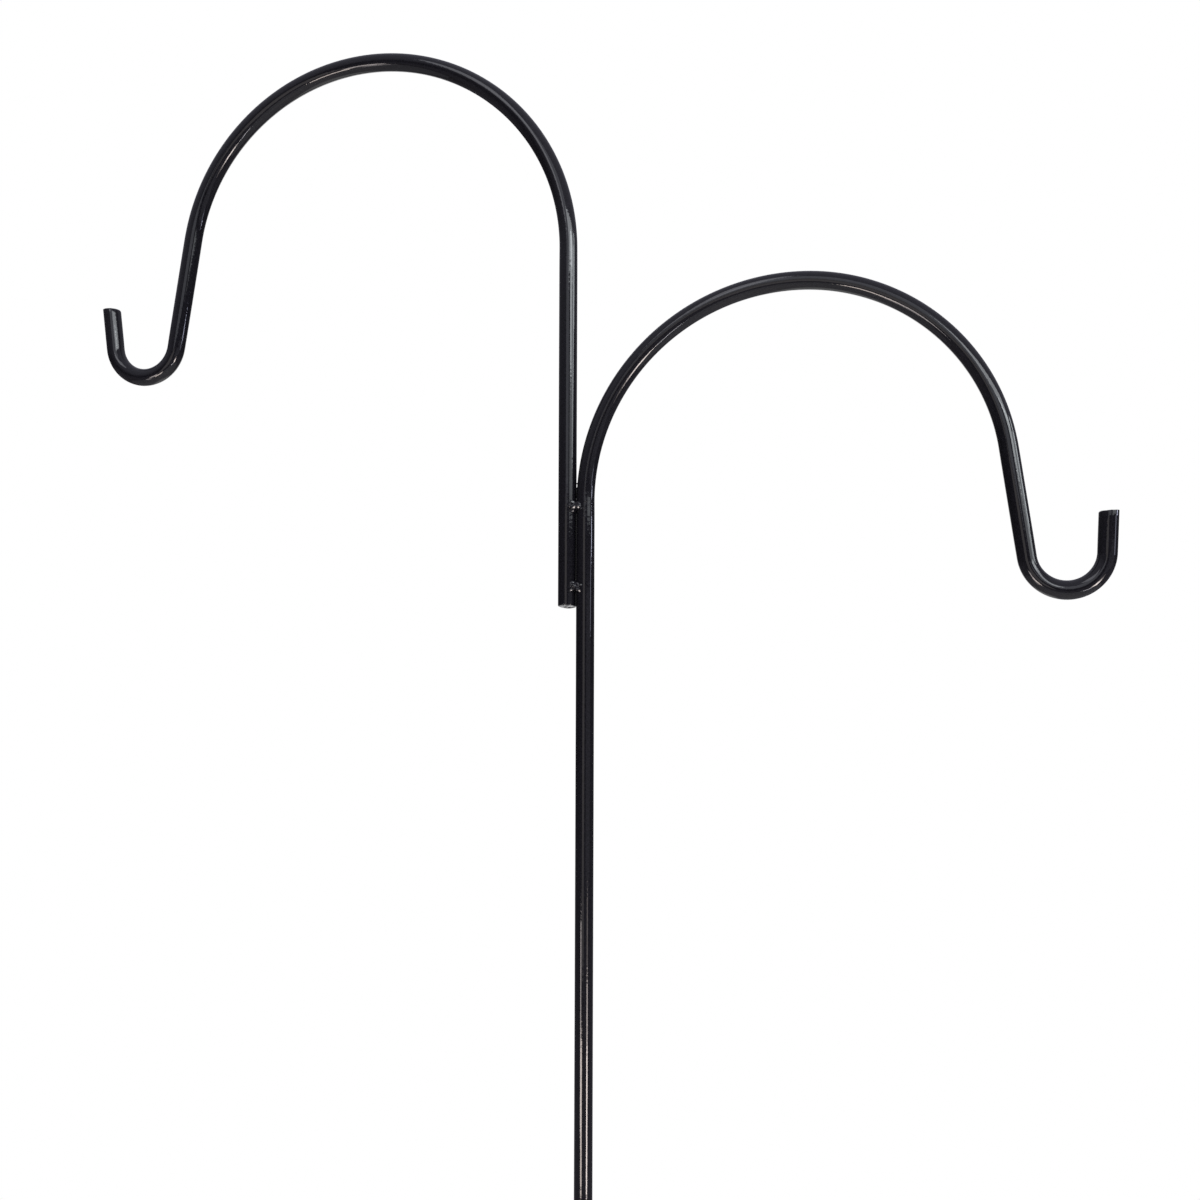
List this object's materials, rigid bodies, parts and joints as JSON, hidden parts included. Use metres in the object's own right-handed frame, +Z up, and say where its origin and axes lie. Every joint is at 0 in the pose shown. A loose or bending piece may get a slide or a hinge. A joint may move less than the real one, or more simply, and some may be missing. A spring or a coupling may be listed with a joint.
{
  "type": "double offset shepherd's hook",
  "caption": "Tall garden hook of bent steel bar for hanging plants, with a stake and a foot step below and a taller crook tack-welded beside the pole.",
  "frame": {"origin": "on the pole's axis at ground level", "axes": "+Z up along the pole; both crooks lie in the XZ plane, the taller one towards -X and the lower one, with the step prong, towards +X"},
  "size_m": [0.7219, 0.0152, 2.1332],
  "materials": {
    "black_paint": "glossy black baked enamel on hot-rolled round bar, over the sheared ends as well",
    "weld_paint": "the same enamel over rippled weld dabs, pooled smooth between the ripples"
  },
  "bodies": {
    "root": {"main_bar": "black_paint", "upper_crook": "black_paint", "upper_tack_front": "weld_paint", "upper_tack_rear": "weld_paint", "lower_tack_front": "weld_paint", "lower_tack_rear": "weld_paint", "step_prong": "black_paint", "step_weld_top": "weld_paint", "step_weld_bottom": "weld_paint"}
  },
  "joints": []
}
